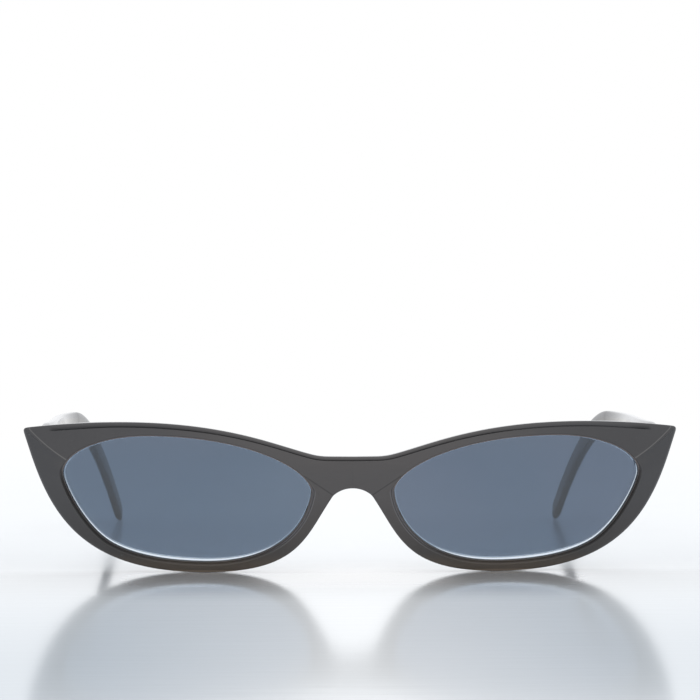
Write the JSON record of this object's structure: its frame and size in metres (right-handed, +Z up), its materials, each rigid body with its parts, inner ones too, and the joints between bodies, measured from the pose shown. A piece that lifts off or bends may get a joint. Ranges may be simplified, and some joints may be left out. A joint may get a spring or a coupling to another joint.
{
  "type": "sunglasses",
  "caption": "Slim cat-eye sunglasses with a faceted plastic front, smoke lenses and temples that fold inward on barrel hinges.",
  "frame": {"origin": "middle of the bounding box, on the surface that the lower rims and temple tips stand on", "axes": "+X to the right of someone looking at the front, +Y from the front to the temple tips, +Z up; the lenses face -Y"},
  "size_m": [0.138, 0.131, 0.0313],
  "materials": {
    "frame_plastic": "polished, opaque charcoal",
    "lens_tint": "clear smoke grey, polished",
    "hinge_metal": "plated nickel silver",
    "screw_metal": "turned steel",
    "core_wire": "drawn wire"
  },
  "bodies": {
    "front": {"front_frame": "frame_plastic", "left_lens": "lens_tint", "right_lens": "lens_tint", "left_front_hinge": "hinge_metal", "right_front_hinge": "hinge_metal", "left_hinge_screw": "screw_metal", "right_hinge_screw": "screw_metal"},
    "left_arm": {"left_temple": "frame_plastic", "left_temple_hinge": "hinge_metal", "left_core_wire": "core_wire"},
    "right_arm": {"right_temple": "frame_plastic", "right_temple_hinge": "hinge_metal", "right_core_wire": "core_wire"}
  },
  "joints": [
    {"name": "left_fold", "type": "hinge", "parent": "front", "child": "left_arm", "pos_m": [-0.0622, -0.05312, 0.0258], "axis": [0, 0, -1], "range_deg": [0, 88]},
    {"name": "right_fold", "type": "hinge", "parent": "front", "child": "right_arm", "pos_m": [0.0622, -0.05312, 0.0258], "axis": [0, 0, 1], "range_deg": [0, 82]}
  ]
}
